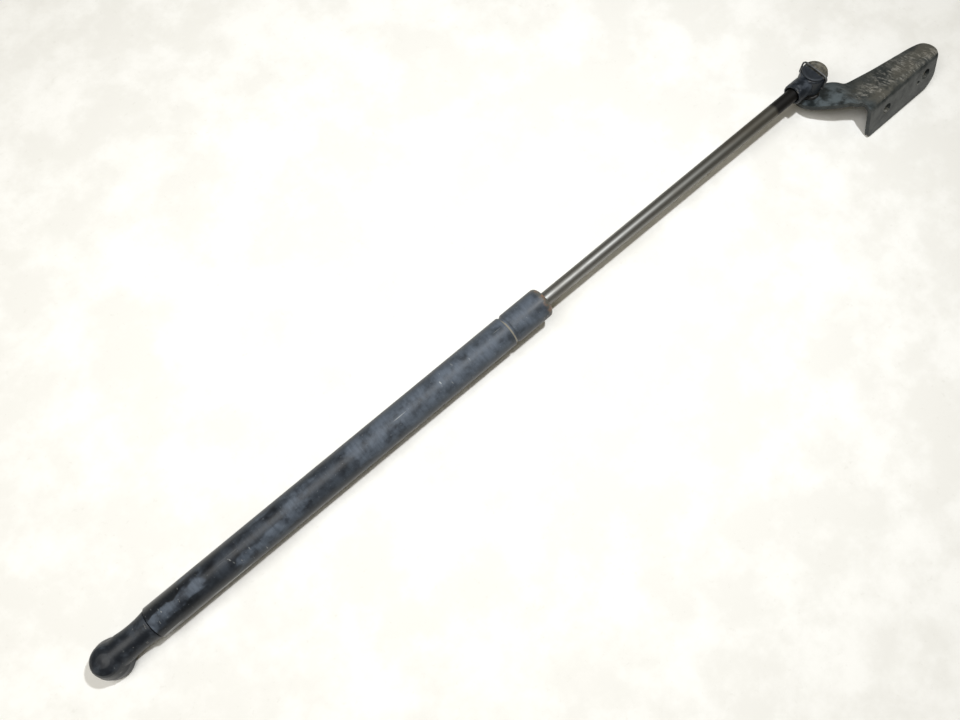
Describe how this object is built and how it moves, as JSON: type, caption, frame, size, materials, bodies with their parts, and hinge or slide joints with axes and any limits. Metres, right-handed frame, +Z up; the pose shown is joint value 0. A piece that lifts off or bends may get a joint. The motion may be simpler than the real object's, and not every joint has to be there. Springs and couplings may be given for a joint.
{
  "type": "gas strut stay",
  "caption": "Gas strut stay: painted pressure tube, chromed rod, ball socket at each end and a stamped bracket riveted to the rod end's ball stud.",
  "frame": {"origin": "centre of the lower ball socket, where the vehicle's ball stud sits", "axes": "+X along the strut from the tube end to the rod end, +Z up with the lower pocket facing down, -Y on the side of the bracket's flange"},
  "size_m": [0.5849, 0.0574, 0.0291],
  "materials": {
    "tube_paint": "satin black, dusty",
    "socket_black": "matt black",
    "steel": "plain turned steel",
    "spring_steel": "drawn spring wire",
    "seal_rubber": "matt nitrile rubber",
    "guide_metal": "sintered iron",
    "rod_chrome": "ground and chromed, worn",
    "cap_metal": "dull, dusty",
    "bracket_paint": "black paint scraped to bare metal along the bend"
  },
  "bodies": {
    "cylinder": {"pressure_tube": "tube_paint", "end_plug": "steel", "lower_socket": "socket_black", "lower_spring_ring": "spring_steel", "support_ring": "steel", "rod_seal": "seal_rubber", "backing_washer": "steel", "rod_guide": "guide_metal", "guide_o_ring": "seal_rubber", "closing_washer": "steel"},
    "piston_ring": {"piston_seal_ring": "seal_rubber"},
    "rod": {"piston_rod": "rod_chrome", "piston": "guide_metal", "piston_washer": "steel", "throttle_disc": "steel", "upper_socket": "socket_black", "socket_cap": "cap_metal", "safety_clip": "spring_steel"},
    "upper_ring": {"upper_spring_ring": "spring_steel"},
    "stud": {"ball_stud": "steel"},
    "bracket": {"mounting_bracket": "bracket_paint"}
  },
  "joints": [
    {"name": "rod_slide", "type": "slide", "parent": "cylinder", "child": "piston_ring", "axis": [-1, 0, 0], "range_m": [0, 0.19], "stiffness_N_per_m": 400, "springref_m": -0.75},
    {"name": "rod_turn", "type": "hinge", "parent": "piston_ring", "child": "rod", "pos_m": [0.4, 0, 0], "axis": [1, 0, 0], "continuous": true},
    {"name": "upper_ring_turn", "type": "hinge", "parent": "rod", "child": "upper_ring", "pos_m": [0.5, 0, 0], "axis": [0, 0.1392, 0.9903], "continuous": true},
    {"name": "stud_tilt", "type": "hinge", "parent": "upper_ring", "child": "stud", "pos_m": [0.5, 0, 0], "axis": [1, 0, 0], "range_deg": [-4, 40]},
    {"name": "bracket_turn", "type": "hinge", "parent": "stud", "child": "bracket", "pos_m": [0.5, 0, 0], "axis": [0, 0.4384, 0.8988], "continuous": true}
  ]
}
